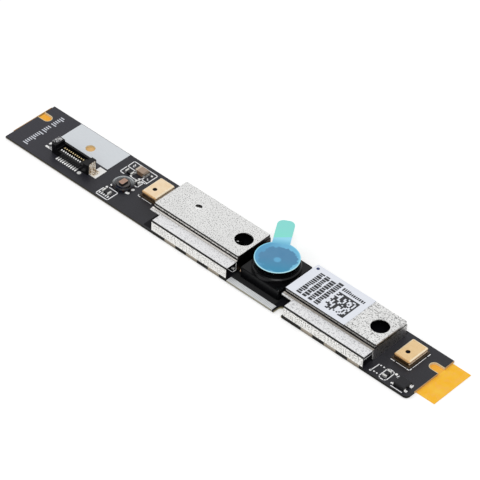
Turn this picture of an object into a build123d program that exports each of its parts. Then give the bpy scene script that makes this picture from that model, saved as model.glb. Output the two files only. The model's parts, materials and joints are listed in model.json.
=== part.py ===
from build123d import *
import os

os.makedirs("parts", exist_ok=True)

# circuit board
board_width = 12.0
board_thick = 0.4
corner_small = 0.2
corner_large = 0.8
slot_width = 1.6
end_slot_depth = 2.3
end_slot_y = 8.75
front_slot_inset = 1.05
front_slot_depth = 1.9
locating_hole_radius = 0.85
locating_hole_x = 12.8
locating_hole_y = 8.2

# mounting tape under the board
tape_thick = 0.1
tape_front = 2.4
tape_back = 11.7
tape_overhang_left = 0.5
tape_overhang_right = 3.75

# ground features along the front edge
strip_gap_left = 0.25
strip_gap_right = 0.15
strip_width = 1.1
strip_thick = 0.08
strip_drop = 0.3
plating_length = 2.5
plating_depth = 0.1
plating_pitch = 5.0
plating_count = 3
left_plating_inset = 5.4
right_plating_inset = 6.25

# white panel behind the connector
panel_thick = 0.04
panel_start = 6.95
panel_length = 12.0
panel_front = 6.2
panel_back = 11.9
panel_hole_margin = 0.05

# connector
contact_count = 10
contact_pitch = 0.5
contact_width = 0.22
contact_gap = 0.02
contact_bar = 0.2
foot_thick = 0.15
foot_front = 1.85
post_front = 3.05
post_back = 3.35
post_height = 1.4
tip_front = 3.9
tip_back = 4.15
tip_height = 1.3
connector_x = 13.0
housing_left = 4.3
housing_right = 4.6
housing_front = 2.65
housing_back = 4.95
channel_length = 5.4
tower_height = 2.1
tower_outer = 1.1
shoulder_height = 1.55
tongue_height = 1.25
trough_front = 3.5
trough_floor = 0.75
back_wall_thick = 0.4
back_wall_height = 1.75
tower_round = 0.25
fitting_thick = 0.14
fitting_front = 3.1
fitting_back = 4.65
fitting_height = 2.0
fitting_gap = 0.02
fitting_foot = 1.0
fitting_fold = 0.85
left_pad_length = 1.9
right_pad_length = 1.6
connector_pad_front = 3.0
connector_pad_back = 5.8
pad_thick = 0.05
marker_radius = 0.38
marker_x = 16.1
marker_y = 2.1

# microphones
left_microphone_x = 29.5
right_microphone_gap = 1.75
microphone_y = 7.9
microphone_base_x = 3.7
microphone_base_y = 5.3
microphone_base_height = 0.3
can_x = 3.3
can_y = 4.95
can_height = 0.92
can_wall = 0.15
can_round = 0.3
port_radius = 0.42
port_dx = -0.16
port_dy = -0.65
die_size = 1.4
die_height = 0.4

# shields
left_shield_start = 33.2
shield_length = 19.45
shield_back = 11.05
sheet = 0.2
ledge_height = 2.34
notch_length = 2.3
notch_width = 2.1
notch_opening = 1.9
ledge_bend = 0.25
foot_round = 0.4
lip_front = 2.4
lip_height = 2.42
cover_front = 2.88
cover_top = 3.2
skirt_bottom = 2.62
skirt_thick = 0.15
skirt_gap = 0.02
cover_corner = 0.35
cover_round = 0.2
cover_hole_radius = 1.65
cover_hole_x = 17.1
cover_hole_y = 6.9
dimple_x = 6.1
dimple_y = 7.5
dimple_radius = 0.65
dimple_depth = 0.13

# printed label on the right shield
label_length = 12.65
label_inset = 0.08
label_thick = 0.08

# camera
camera_gap_left = 1.05
camera_gap_right = 0.85
camera_y = 6.6
holder_size = 8.6
holder_height = 2.1
holder_corner = 0.35
holder_edge = 0.12
tower_radius = 4.2
tower_top = 2.95
tower_edge = 0.2
collar_radius = 3.75
collar_top = 3.15
holder_wall = 0.8
barrel_radius = 3.2
barrel_bottom = 1.5
barrel_top = 4.15
barrel_bore = 2.3
barrel_gap = 0.03
barrel_edge = 0.15
aperture_radius = 0.95
cone_radius = 2.4
cone_depth = 0.5
front_wall = 0.75
front_lens_thick = 0.7
spacer_thick = 0.2
spacer_radius = 1.7
rear_lens_thick = 0.6
lens_gap = 0.02
filter_size = 5.6
filter_thick = 0.3
sensor_size = 5.2
sensor_height = 0.7
filter_shelf = 1.0

# protective film
film_radius = 3.9
film_thick = 0.08
tab_width = 3.05
tab_reach = 9.55
tab_round = 1.15
tab_angle = 32
liner_start = 5.35
liner_thick = 0.08

# loose parts on the deck
capacitor_x = 24.0
capacitor_y = 9.75
capacitor_length = 2.2
capacitor_width = 1.4
capacitor_height = 0.85
capacitor_cap = 0.4
chip_length = 1.6
chip_width = 0.8
chip_height = 0.45
chip_cap = 0.35
chip_lift = 0.03
front_chip_x = 23.2
front_chip_y = 1.75
rear_chip_x = 22.3
rear_chip_y = 8.35
side_chip_x = 25.2
side_chip_y = 7.3
side_chip_length = 1.0
side_chip_width = 0.6
edge_chip_inset = 5.65
edge_chip_y = 1.75
inductor_x = 23.8
inductor_y = 5.2
inductor_radius = 1.95
inductor_height = 0.6
inductor_wall = 0.35
inductor_floor = 0.2
inductor_rim_edge = 0.12
winding_radius = 1.25
winding_top = 0.65
winding_gap = 0.02
inductor_core_x = 1.0
inductor_core_y = 1.5
inductor_core_round = 0.2
inductor_core_top = 0.95
inductor_pad_radius = 0.28
inductor_pad_x = 25.83
inductor_pad_low_y = 4.25
inductor_pad_high_y = 5.5
transistor_inset = 2.3
transistor_y = 1.65
transistor_length = 2.2
transistor_width = 2.0
transistor_height = 0.85
transistor_lift = 0.06
transistor_edge = 0.1
lead_width = 0.45
lead_reach = 0.4
lead_thick = 0.12
lead_spread = 1.4

# parts inside the shields
processor_size = 6.0
processor_height = 0.85
processor_inset = 7.8
hidden_y = 7.0
crystal_inset = 14.4
crystal_length = 3.2
crystal_width = 2.5
crystal_height = 0.7
memory_inset = 5.65
memory_length = 3.0
memory_width = 4.0
memory_height = 0.75
power_inset = 11.85
power_size = 3.0
power_height = 0.9
bypass_length = 1.0
bypass_width = 0.5
bypass_height = 0.5
bypass_pitch = 1.6
bypass_count = 4
bypass_y = 1.3
left_bypass_inset = 10.8
right_bypass_inset = 10.85

# right of the right shield
right_zone = 9.4

# places along the board that follow from the sizes above
left_shield_end = left_shield_start + shield_length
camera_x = left_shield_end + camera_gap_left + holder_size / 2
right_shield_start = camera_x + holder_size / 2 + camera_gap_right
right_shield_end = right_shield_start + shield_length
right_microphone_x = right_shield_end + right_microphone_gap + microphone_base_x / 2
board_length = right_shield_end + right_zone
front_slot_x = right_shield_start + front_slot_inset
strip_start = left_shield_end + strip_gap_left
strip_length = right_shield_start - strip_gap_right - strip_start
left_plating_start = left_shield_start + left_plating_inset
right_plating_start = right_shield_start + right_plating_inset
edge_chip_x = board_length - edge_chip_inset
transistor_x = board_length - transistor_inset
processor_x = left_shield_start + processor_inset
crystal_x = left_shield_start + crystal_inset
memory_x = right_shield_start + memory_inset
power_x = right_shield_start + power_inset
left_bypass_x = left_shield_start + left_bypass_inset
right_bypass_x = right_shield_start + right_bypass_inset

# planes: the deck has its origin at the board's left front corner, on its upper face
board_top = tape_thick + board_thick
deck = Plane(origin=(-board_length / 2, -board_width / 2, board_top))
end_slot_centre = end_slot_depth - slot_width / 2
front_slot_centre = front_slot_depth - slot_width / 2


# circuit board
with BuildPart() as circuit_board:
    with BuildSketch(deck) as board_outline:
        with Locations((board_length / 2, board_width / 2)):
            Rectangle(board_length, board_width)
        corners = board_outline.vertices().sort_by(Axis.Y)
        front_corners = corners[:2].sort_by(Axis.X)
        fillet(front_corners[1:], radius=corner_large)
        fillet(front_corners[:1] + corners[2:], radius=corner_small)
        with Locations((0, end_slot_y), (board_length, end_slot_y)):
            SlotCenterToCenter(2 * end_slot_centre, slot_width, mode=Mode.SUBTRACT)
        with Locations((front_slot_x, 0)):
            SlotCenterToCenter(2 * front_slot_centre, slot_width, rotation=90, mode=Mode.SUBTRACT)
        with Locations((locating_hole_x, locating_hole_y)):
            Circle(locating_hole_radius, mode=Mode.SUBTRACT)
        for start in (left_plating_start, right_plating_start):
            with Locations((start, 0)):
                with GridLocations(plating_pitch, 0, plating_count, 1, align=(Align.MIN, Align.MIN)):
                    Rectangle(
                        plating_length, plating_depth, align=(Align.MIN, Align.MIN), mode=Mode.SUBTRACT
                    )
    extrude(amount=-board_thick)
circuit_board.part.label = "circuit_board"
export_step(circuit_board.part, "parts/circuit_board.step")

# plated lands let into the front edge, under the shield walls
with BuildPart() as edge_plating:
    with BuildSketch(deck):
        for start in (left_plating_start, right_plating_start):
            with Locations((start, 0)):
                with GridLocations(plating_pitch, 0, plating_count, 1, align=(Align.MIN, Align.MIN)):
                    Rectangle(plating_length, plating_depth, align=(Align.MIN, Align.MIN))
    extrude(amount=-board_thick)
edge_plating.part.label = "edge_plating"
export_step(edge_plating.part, "parts/edge_plating.step")

# yellow tape that holds the board, with its pull end past the right edge
with BuildPart() as mounting_tape:
    with BuildSketch(deck.offset(-board_thick)):
        with Locations((-tape_overhang_left, tape_front)):
            Rectangle(
                board_length + tape_overhang_left + tape_overhang_right,
                tape_back - tape_front,
                align=(Align.MIN, Align.MIN),
            )
    extrude(amount=-tape_thick)
mounting_tape.part.label = "mounting_tape"
export_step(mounting_tape.part, "parts/mounting_tape.step")

# white panel
with BuildPart() as white_panel:
    with BuildSketch(deck):
        with Locations((panel_start, panel_front)):
            Rectangle(panel_length, panel_back - panel_front, align=(Align.MIN, Align.MIN))
        with Locations((locating_hole_x, locating_hole_y)):
            Circle(locating_hole_radius + panel_hole_margin, mode=Mode.SUBTRACT)
    extrude(amount=panel_thick)
white_panel.part.label = "white_panel"
export_step(white_panel.part, "parts/white_panel.step")

# ground strip folded over the front edge
with BuildPart() as ground_strip:
    with BuildSketch(deck):
        with Locations((strip_start, -strip_thick)):
            Rectangle(strip_length, strip_width + strip_thick, align=(Align.MIN, Align.MIN))
    extrude(amount=strip_thick)
    with BuildSketch(deck):
        with Locations((strip_start, -strip_thick)):
            Rectangle(strip_length, strip_thick, align=(Align.MIN, Align.MIN))
    extrude(amount=-strip_drop)
ground_strip.part.label = "ground_strip"
export_step(ground_strip.part, "parts/ground_strip.step")

# connector contacts: a foot in front, a post through the tongue and a tip in the trough
def contact_bars(front, back, height, margin, mode):
    with BuildSketch(deck) as bars:
        with Locations((connector_x, front)):
            with GridLocations(contact_pitch, 0, contact_count, 1, align=(Align.CENTER, Align.MIN)):
                Rectangle(contact_width + 2 * margin, back - front, align=(Align.CENTER, Align.MIN))
    extrude(bars.sketch, amount=height, mode=mode)


with BuildPart() as connector_contacts:
    contact_bars(foot_front, post_back, foot_thick, 0, Mode.ADD)
    contact_bars(post_front, tip_back, contact_bar, 0, Mode.ADD)
    contact_bars(post_front, post_back, post_height, 0, Mode.ADD)
    contact_bars(tip_front, tip_back, tip_height, 0, Mode.ADD)
connector_contacts.part.label = "connector_contacts"
export_step(connector_contacts.part, "parts/connector_contacts.step")

# connector housing: tongue and trough between two end towers, with a wall behind
housing_start = connector_x - housing_left
housing_end = connector_x + housing_right
housing_length = housing_left + housing_right
housing_depth = housing_back - housing_front
fitting_depth = fitting_back - fitting_front
left_tower_length = housing_left - channel_length / 2
right_tower_length = housing_right - channel_length / 2
with BuildPart() as connector_housing:
    with BuildSketch(deck):
        with Locations((housing_start, housing_front)):
            Rectangle(housing_length, housing_depth, align=(Align.MIN, Align.MIN))
    extrude(amount=tongue_height)
    with BuildSketch(deck.offset(tongue_height)):
        with Locations((housing_start, housing_front)):
            Rectangle(left_tower_length, housing_depth, align=(Align.MIN, Align.MIN))
        with Locations((housing_end, housing_front)):
            Rectangle(right_tower_length, housing_depth, align=(Align.MAX, Align.MIN))
    extrude(amount=shoulder_height - tongue_height)
    with BuildSketch(deck.offset(shoulder_height)):
        with Locations((housing_start, housing_front)):
            Rectangle(tower_outer, housing_depth, align=(Align.MIN, Align.MIN))
        with Locations((housing_end, housing_front)):
            Rectangle(tower_outer, housing_depth, align=(Align.MAX, Align.MIN))
    extrude(amount=tower_height - shoulder_height)
    with BuildSketch(deck.offset(tongue_height)):
        with Locations((housing_start, housing_back)):
            Rectangle(housing_length, back_wall_thick, align=(Align.MIN, Align.MAX))
    extrude(amount=back_wall_height - tongue_height)
    upright = connector_housing.edges().filter_by(Axis.Z).filter_by(
        lambda edge: abs(edge.length - tower_height) < pad_thick
    )
    fillet(upright, radius=tower_round)
    with BuildSketch(deck.offset(trough_floor)):
        with Locations((connector_x, trough_front)):
            Rectangle(
                channel_length,
                housing_back - back_wall_thick - trough_front,
                align=(Align.CENTER, Align.MIN),
            )
    extrude(amount=tongue_height, mode=Mode.SUBTRACT)
    contact_bars(housing_front, post_back, foot_thick, contact_gap, Mode.SUBTRACT)
    contact_bars(post_front, tip_back, contact_bar, contact_gap, Mode.SUBTRACT)
    contact_bars(post_front, post_back, tongue_height, contact_gap, Mode.SUBTRACT)
    contact_bars(tip_front, tip_back, trough_floor, contact_gap, Mode.SUBTRACT)
    with BuildSketch(deck):
        with Locations((housing_end, fitting_front - fitting_gap)):
            Rectangle(
                fitting_thick + fitting_gap,
                fitting_depth + 2 * fitting_gap,
                align=(Align.MAX, Align.MIN),
            )
    extrude(amount=tower_height, mode=Mode.SUBTRACT)
connector_housing.part.label = "connector_housing"
export_step(connector_housing.part, "parts/connector_housing.step")

# metal end fittings with a foot on the connector pads; the right one is let into its tower
with BuildPart() as connector_right_fitting:
    with BuildSketch(deck.offset(pad_thick)):
        with Locations((housing_end - fitting_thick, fitting_front)):
            Rectangle(fitting_foot + fitting_thick, fitting_depth, align=(Align.MIN, Align.MIN))
    extrude(amount=fitting_thick)
    with BuildSketch(deck.offset(pad_thick)):
        with Locations((housing_end, fitting_front)):
            Rectangle(fitting_thick, fitting_depth, align=(Align.MAX, Align.MIN))
    extrude(amount=fitting_height - pad_thick)
connector_right_fitting.part.label = "connector_right_fitting"
export_step(connector_right_fitting.part, "parts/connector_right_fitting.step")

with BuildPart() as connector_left_fitting:
    with BuildSketch(deck.offset(pad_thick)):
        with Locations((housing_start, fitting_front)):
            Rectangle(fitting_foot, fitting_depth, align=(Align.MAX, Align.MIN))
    extrude(amount=fitting_thick)
    with BuildSketch(deck.offset(pad_thick)):
        with Locations((housing_start, fitting_front)):
            Rectangle(fitting_thick, fitting_depth, align=(Align.MAX, Align.MIN))
    extrude(amount=tower_height + fitting_thick - pad_thick)
    with BuildSketch(deck.offset(tower_height)):
        with Locations((housing_start - fitting_thick, fitting_front)):
            Rectangle(fitting_fold + fitting_thick, fitting_depth, align=(Align.MIN, Align.MIN))
    extrude(amount=fitting_thick)
connector_left_fitting.part.label = "connector_left_fitting"
export_step(connector_left_fitting.part, "parts/connector_left_fitting.step")

# solder pads beside the connector and the round mark at the end of its row
with BuildPart() as solder_pads:
    with BuildSketch(deck):
        with Locations((housing_end, connector_pad_front)):
            Rectangle(
                right_pad_length,
                connector_pad_back - connector_pad_front,
                align=(Align.MIN, Align.MIN),
            )
        with Locations((housing_start, connector_pad_front)):
            Rectangle(
                left_pad_length,
                connector_pad_back - connector_pad_front,
                align=(Align.MAX, Align.MIN),
            )
        with Locations((marker_x, marker_y)):
            Circle(marker_radius)
        with Locations((inductor_pad_x, inductor_pad_low_y), (inductor_pad_x, inductor_pad_high_y)):
            Circle(inductor_pad_radius)
    extrude(amount=pad_thick)
solder_pads.part.label = "solder_pads"
export_step(solder_pads.part, "parts/solder_pads.step")


# microphones: a base, a folded metal can with a port, and the die inside
def microphone_base(centre_x):
    with BuildPart() as base:
        with BuildSketch(deck):
            with Locations((centre_x, microphone_y)):
                Rectangle(microphone_base_x, microphone_base_y)
        extrude(amount=microphone_base_height)
    return base


def microphone_can(centre_x):
    base_top = deck.offset(microphone_base_height)
    with BuildPart() as can:
        with BuildSketch(base_top):
            with Locations((centre_x, microphone_y)):
                Rectangle(can_x, can_y)
        extrude(amount=can_height)
        upper_edges = can.faces().sort_by(Axis.Z)[-1].edges()
        fillet(upper_edges + can.edges().filter_by(Axis.Z), radius=can_round)
        with BuildSketch(base_top):
            with Locations((centre_x, microphone_y)):
                Rectangle(can_x - 2 * can_wall, can_y - 2 * can_wall)
        extrude(amount=can_height - can_wall, mode=Mode.SUBTRACT)
        with BuildSketch(base_top):
            with Locations((centre_x + port_dx, microphone_y + port_dy)):
                Circle(port_radius)
        extrude(amount=can_height, mode=Mode.SUBTRACT)
    return can


left_microphone_base = microphone_base(left_microphone_x)
left_microphone_base.part.label = "left_microphone_base"
export_step(left_microphone_base.part, "parts/left_microphone_base.step")

right_microphone_base = microphone_base(right_microphone_x)
right_microphone_base.part.label = "right_microphone_base"
export_step(right_microphone_base.part, "parts/right_microphone_base.step")

left_microphone_can = microphone_can(left_microphone_x)
left_microphone_can.part.label = "left_microphone_can"
export_step(left_microphone_can.part, "parts/left_microphone_can.step")

right_microphone_can = microphone_can(right_microphone_x)
right_microphone_can.part.label = "right_microphone_can"
export_step(right_microphone_can.part, "parts/right_microphone_can.step")

with BuildPart() as microphone_dies:
    with BuildSketch(deck.offset(microphone_base_height)):
        with Locations((left_microphone_x, microphone_y), (right_microphone_x, microphone_y)):
            Rectangle(die_size, die_size)
    extrude(amount=die_height)
microphone_dies.part.label = "microphone_dies"
export_step(microphone_dies.part, "parts/microphone_dies.step")


# shields: a folded frame with a low ledge in front, and a cover with a short skirt
def ledge_outline(start, inset):
    left = start + inset
    right = start + shield_length - inset
    step = start + notch_length + inset
    Polygon(
        (step, inset),
        (right, inset),
        (right, shield_back - inset),
        (left, shield_back - inset),
        (left, notch_width + inset),
        (step, notch_width + inset),
        align=None,
    )


def cover_outline(start, inset):
    with Locations((start + inset, cover_front + inset)):
        Rectangle(
            shield_length - 2 * inset,
            shield_back - cover_front - 2 * inset,
            align=(Align.MIN, Align.MIN),
        )


riser_inset = skirt_thick + skirt_gap
riser_top = cover_top - sheet


def shield_frame(start):
    with BuildPart() as frame:
        with BuildSketch(deck):
            ledge_outline(start, 0)
        extrude(amount=ledge_height)
        foot = frame.edges().filter_by(Axis.Y).group_by(Axis.Z)[0].sort_by(Axis.X)[1]
        fillet(foot, radius=foot_round)
        bend = frame.faces().sort_by(Axis.Z)[-1].edges().filter_by(Axis.X).sort_by(Axis.Y)[0]
        fillet(bend, radius=ledge_bend)
        with BuildSketch(deck.offset(ledge_height)):
            with Locations((start, lip_front)):
                Rectangle(shield_length, shield_back - lip_front, align=(Align.MIN, Align.MIN))
        extrude(amount=lip_height - ledge_height)
        with BuildSketch(deck.offset(lip_height)):
            cover_outline(start, riser_inset)
        extrude(amount=riser_top - lip_height)
        with BuildSketch(deck):
            ledge_outline(start, sheet)
            with Locations((start + shield_length, sheet)):
                Rectangle(2 * sheet, lip_front, align=(Align.CENTER, Align.MIN))
            with Locations((start, notch_width)):
                Rectangle(notch_length, notch_opening, align=(Align.MIN, Align.MIN))
        extrude(amount=ledge_height - sheet, mode=Mode.SUBTRACT)
        with BuildSketch(deck.offset(ledge_height - sheet)):
            cover_outline(start, riser_inset + sheet)
        extrude(amount=riser_top, mode=Mode.SUBTRACT)
    return frame


def shield_cover(start):
    dimple_sphere = (dimple_radius**2 + dimple_depth**2) / (2 * dimple_depth)
    dimple_centre = (start + dimple_x, dimple_y, cover_top - dimple_depth + dimple_sphere)
    with BuildPart() as cover:
        with BuildSketch(deck.offset(skirt_bottom)) as skirt:
            cover_outline(start, 0)
            fillet(skirt.vertices(), radius=cover_corner)
        extrude(amount=cover_top - skirt_bottom)
        fillet(cover.faces().sort_by(Axis.Z)[-1].edges(), radius=cover_round)
        with BuildSketch(deck.offset(skirt_bottom)):
            cover_outline(start, skirt_thick)
        extrude(amount=riser_top - skirt_bottom, mode=Mode.SUBTRACT)
        with BuildSketch(deck.offset(riser_top)):
            with Locations((start + cover_hole_x, cover_hole_y)):
                Circle(cover_hole_radius)
        extrude(amount=sheet, mode=Mode.SUBTRACT)
        with Locations(deck.location * Location(dimple_centre)):
            Sphere(dimple_sphere, mode=Mode.SUBTRACT)
    return cover


left_shield_frame = shield_frame(left_shield_start)
left_shield_frame.part.label = "left_shield_frame"
export_step(left_shield_frame.part, "parts/left_shield_frame.step")

right_shield_frame = shield_frame(right_shield_start)
right_shield_frame.part.label = "right_shield_frame"
export_step(right_shield_frame.part, "parts/right_shield_frame.step")

left_shield_cover = shield_cover(left_shield_start)
left_shield_cover.part.label = "left_shield_cover"
export_step(left_shield_cover.part, "parts/left_shield_cover.step")

right_shield_cover = shield_cover(right_shield_start)
right_shield_cover.part.label = "right_shield_cover"
export_step(right_shield_cover.part, "parts/right_shield_cover.step")

# label stuck on the left end of the right cover
with BuildPart() as printed_label:
    with BuildSketch(deck.offset(cover_top)):
        with Locations((right_shield_start + label_inset, cover_front + label_inset)):
            Rectangle(
                label_length,
                shield_back - cover_front - 2 * label_inset,
                align=(Align.MIN, Align.MIN),
            )
    extrude(amount=label_thick)
printed_label.part.label = "printed_label"
export_step(printed_label.part, "parts/printed_label.step")

# chip capacitor: a beige body between two metal end caps
with BuildPart() as capacitor_body:
    with BuildSketch(deck):
        with Locations((capacitor_x, capacitor_y)):
            Rectangle(capacitor_length - 2 * capacitor_cap, capacitor_width)
    extrude(amount=capacitor_height)
capacitor_body.part.label = "capacitor_body"
export_step(capacitor_body.part, "parts/capacitor_body.step")

# small chips: dark bodies and metal end caps, along the board and across it
chip_reach = chip_length / 2 - chip_cap / 2
side_reach = side_chip_length / 2 - chip_cap / 2
with BuildPart() as chip_bodies:
    with BuildSketch(deck):
        with Locations((front_chip_x, front_chip_y), (rear_chip_x, rear_chip_y)):
            Rectangle(chip_length - 2 * chip_cap, chip_width)
        with Locations((side_chip_x, side_chip_y)):
            Rectangle(side_chip_length - 2 * chip_cap, side_chip_width)
        with Locations((edge_chip_x, edge_chip_y)):
            Rectangle(chip_width, chip_length - 2 * chip_cap)
    extrude(amount=chip_height - chip_lift)
chip_bodies.part.label = "chip_bodies"
export_step(chip_bodies.part, "parts/chip_bodies.step")

with BuildPart() as chip_terminals:
    with BuildSketch(deck):
        with Locations((capacitor_x, capacitor_y)):
            with GridLocations(capacitor_length - capacitor_cap, 0, 2, 1):
                Rectangle(capacitor_cap, capacitor_width)
    extrude(amount=capacitor_height)
    with BuildSketch(deck):
        with Locations((front_chip_x, front_chip_y), (rear_chip_x, rear_chip_y)):
            with GridLocations(2 * chip_reach, 0, 2, 1):
                Rectangle(chip_cap, chip_width)
        with Locations((side_chip_x, side_chip_y)):
            with GridLocations(2 * side_reach, 0, 2, 1):
                Rectangle(chip_cap, side_chip_width)
        with Locations((edge_chip_x, edge_chip_y)):
            with GridLocations(0, 2 * chip_reach, 1, 2):
                Rectangle(chip_width, chip_cap)
    extrude(amount=chip_height)
chip_terminals.part.label = "chip_terminals"
export_step(chip_terminals.part, "parts/chip_terminals.step")

# inductor: a round cup with a winding in it and a core that stands out of the winding
with BuildPart() as inductor_cup:
    with BuildSketch(deck):
        with Locations((inductor_x, inductor_y)):
            Circle(inductor_radius)
    extrude(amount=inductor_height)
    chamfer(inductor_cup.faces().sort_by(Axis.Z)[-1].edges(), length=inductor_rim_edge)
    with BuildSketch(deck.offset(inductor_floor)):
        with Locations((inductor_x, inductor_y)):
            Circle(inductor_radius - inductor_wall)
    extrude(amount=inductor_height, mode=Mode.SUBTRACT)
    with BuildSketch(deck):
        with Locations((inductor_pad_x, inductor_pad_low_y), (inductor_pad_x, inductor_pad_high_y)):
            Circle(inductor_pad_radius)
    extrude(amount=inductor_height, mode=Mode.SUBTRACT)
inductor_cup.part.label = "inductor_flange"
export_step(inductor_cup.part, "parts/inductor_flange.step")


def core_outline(margin):
    with BuildSketch(deck.offset(inductor_floor)) as outline:
        with Locations((inductor_x, inductor_y)):
            Rectangle(inductor_core_x + 2 * margin, inductor_core_y + 2 * margin)
        fillet(outline.vertices(), radius=inductor_core_round + margin)
    return outline.sketch


with BuildPart() as inductor_winding:
    with BuildSketch(deck.offset(inductor_floor)):
        with Locations((inductor_x, inductor_y)):
            Circle(winding_radius)
    extrude(amount=winding_top - inductor_floor)
    extrude(core_outline(winding_gap), amount=winding_top, mode=Mode.SUBTRACT)
inductor_winding.part.label = "inductor_winding"
export_step(inductor_winding.part, "parts/inductor_winding.step")

with BuildPart() as inductor_core:
    extrude(core_outline(0), amount=inductor_core_top - inductor_floor)
inductor_core.part.label = "inductor_core"
export_step(inductor_core.part, "parts/inductor_core.step")

# transistor: a black body on four short leads
with BuildPart() as transistor_body:
    with BuildSketch(deck.offset(transistor_lift)):
        with Locations((transistor_x, transistor_y)):
            Rectangle(transistor_length, transistor_width)
    extrude(amount=transistor_height - transistor_lift)
    chamfer(transistor_body.faces().sort_by(Axis.Z)[-1].edges(), length=transistor_edge)
    with BuildSketch(deck):
        with Locations((transistor_x, transistor_y)):
            with GridLocations(transistor_length, lead_spread, 2, 2):
                Rectangle(2 * lead_thick, lead_width)
    extrude(amount=transistor_height / 2, mode=Mode.SUBTRACT)
transistor_body.part.label = "transistor_body"
export_step(transistor_body.part, "parts/transistor_body.step")

with BuildPart() as transistor_leads:
    with BuildSketch(deck):
        with Locations((transistor_x, transistor_y)):
            with GridLocations(transistor_length + lead_reach - lead_thick, lead_spread, 2, 2):
                Rectangle(lead_reach + lead_thick, lead_width)
    extrude(amount=lead_thick)
    with BuildSketch(deck):
        with Locations((transistor_x, transistor_y)):
            with GridLocations(transistor_length - lead_thick, lead_spread, 2, 2):
                Rectangle(lead_thick, lead_width)
    extrude(amount=transistor_height / 2)
transistor_leads.part.label = "transistor_leads"
export_step(transistor_leads.part, "parts/transistor_leads.step")

# parts under the shields
with BuildPart() as image_processor:
    with BuildSketch(deck):
        with Locations((processor_x, hidden_y)):
            Rectangle(processor_size, processor_size)
    extrude(amount=processor_height)
image_processor.part.label = "image_processor"
export_step(image_processor.part, "parts/image_processor.step")

with BuildPart() as crystal_can:
    with BuildSketch(deck):
        with Locations((crystal_x, hidden_y)):
            Rectangle(crystal_width, crystal_length)
    extrude(amount=crystal_height)
crystal_can.part.label = "crystal_can"
export_step(crystal_can.part, "parts/crystal_can.step")

with BuildPart() as memory_chip:
    with BuildSketch(deck):
        with Locations((memory_x, hidden_y)):
            Rectangle(memory_length, memory_width)
    extrude(amount=memory_height)
memory_chip.part.label = "memory_chip"
export_step(memory_chip.part, "parts/memory_chip.step")

with BuildPart() as power_regulator:
    with BuildSketch(deck):
        with Locations((power_x, hidden_y)):
            Rectangle(power_size, power_size)
    extrude(amount=power_height)
power_regulator.part.label = "power_regulator"
export_step(power_regulator.part, "parts/power_regulator.step")

with BuildPart() as bypass_capacitors:
    with BuildSketch(deck):
        for centre_x in (left_bypass_x, right_bypass_x):
            with Locations((centre_x, bypass_y)):
                with GridLocations(bypass_pitch, 0, bypass_count, 1):
                    Rectangle(bypass_length, bypass_width)
    extrude(amount=bypass_height)
bypass_capacitors.part.label = "bypass_capacitors"
export_step(bypass_capacitors.part, "parts/bypass_capacitors.step")

# camera: sensor on the deck, filter on a shelf in the holder, lens barrel in the tower
with BuildPart() as image_sensor:
    with BuildSketch(deck):
        with Locations((camera_x, camera_y)):
            Rectangle(sensor_size, sensor_size)
    extrude(amount=sensor_height)
image_sensor.part.label = "image_sensor"
export_step(image_sensor.part, "parts/image_sensor.step")

with BuildPart() as infrared_filter:
    with BuildSketch(deck.offset(filter_shelf)):
        with Locations((camera_x, camera_y)):
            Rectangle(filter_size, filter_size)
    extrude(amount=filter_thick)
infrared_filter.part.label = "infrared_filter"
export_step(infrared_filter.part, "parts/infrared_filter.step")

with BuildPart() as lens_holder:
    with BuildSketch(deck) as holder_outline:
        with Locations((camera_x, camera_y)):
            Rectangle(holder_size, holder_size)
        fillet(holder_outline.vertices(), radius=holder_corner)
    extrude(amount=holder_height)
    chamfer(lens_holder.faces().sort_by(Axis.Z)[-1].edges(), length=holder_edge)
    with BuildSketch(deck.offset(holder_height)):
        with Locations((camera_x, camera_y)):
            Circle(tower_radius)
    extrude(amount=tower_top - holder_height)
    chamfer(lens_holder.faces().sort_by(Axis.Z)[-1].edges(), length=tower_edge)
    with BuildSketch(deck.offset(tower_top)):
        with Locations((camera_x, camera_y)):
            Circle(collar_radius)
    extrude(amount=collar_top - tower_top)
    with BuildSketch(deck):
        with Locations((camera_x, camera_y)):
            Rectangle(holder_size - 2 * holder_wall, holder_size - 2 * holder_wall)
    extrude(amount=filter_shelf, mode=Mode.SUBTRACT)
    with BuildSketch(deck.offset(filter_shelf)):
        with Locations((camera_x, camera_y)):
            Rectangle(filter_size, filter_size)
    extrude(amount=filter_thick, mode=Mode.SUBTRACT)
    with BuildSketch(deck.offset(filter_shelf)):
        with Locations((camera_x, camera_y)):
            Circle(barrel_bore)
    extrude(amount=collar_top, mode=Mode.SUBTRACT)
    with BuildSketch(deck.offset(barrel_bottom)):
        with Locations((camera_x, camera_y)):
            Circle(barrel_radius + barrel_gap)
    extrude(amount=collar_top, mode=Mode.SUBTRACT)
lens_holder.part.label = "lens_holder"
export_step(lens_holder.part, "parts/lens_holder.step")

front_lens_top = barrel_top - front_wall
front_lens_bottom = front_lens_top - front_lens_thick
rear_lens_top = front_lens_bottom - spacer_thick
rear_lens_bottom = rear_lens_top - rear_lens_thick
with BuildPart() as lens_barrel:
    with BuildSketch(deck.offset(barrel_bottom)):
        with Locations((camera_x, camera_y)):
            Circle(barrel_radius)
    extrude(amount=barrel_top - barrel_bottom)
    chamfer(lens_barrel.faces().sort_by(Axis.Z)[-1].edges(), length=barrel_edge)
    with BuildSketch(deck.offset(barrel_bottom)):
        with Locations((camera_x, camera_y)):
            Circle(barrel_bore)
    extrude(amount=front_lens_top - barrel_bottom, mode=Mode.SUBTRACT)
    with BuildSketch(deck.offset(front_lens_top)):
        with Locations((camera_x, camera_y)):
            Circle(aperture_radius)
    extrude(amount=front_wall, mode=Mode.SUBTRACT)
    with Locations(deck.location * Location((camera_x, camera_y, barrel_top - cone_depth / 2))):
        Cone(aperture_radius, cone_radius, cone_depth, mode=Mode.SUBTRACT)
lens_barrel.part.label = "lens_barrel"
export_step(lens_barrel.part, "parts/lens_barrel.step")

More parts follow.
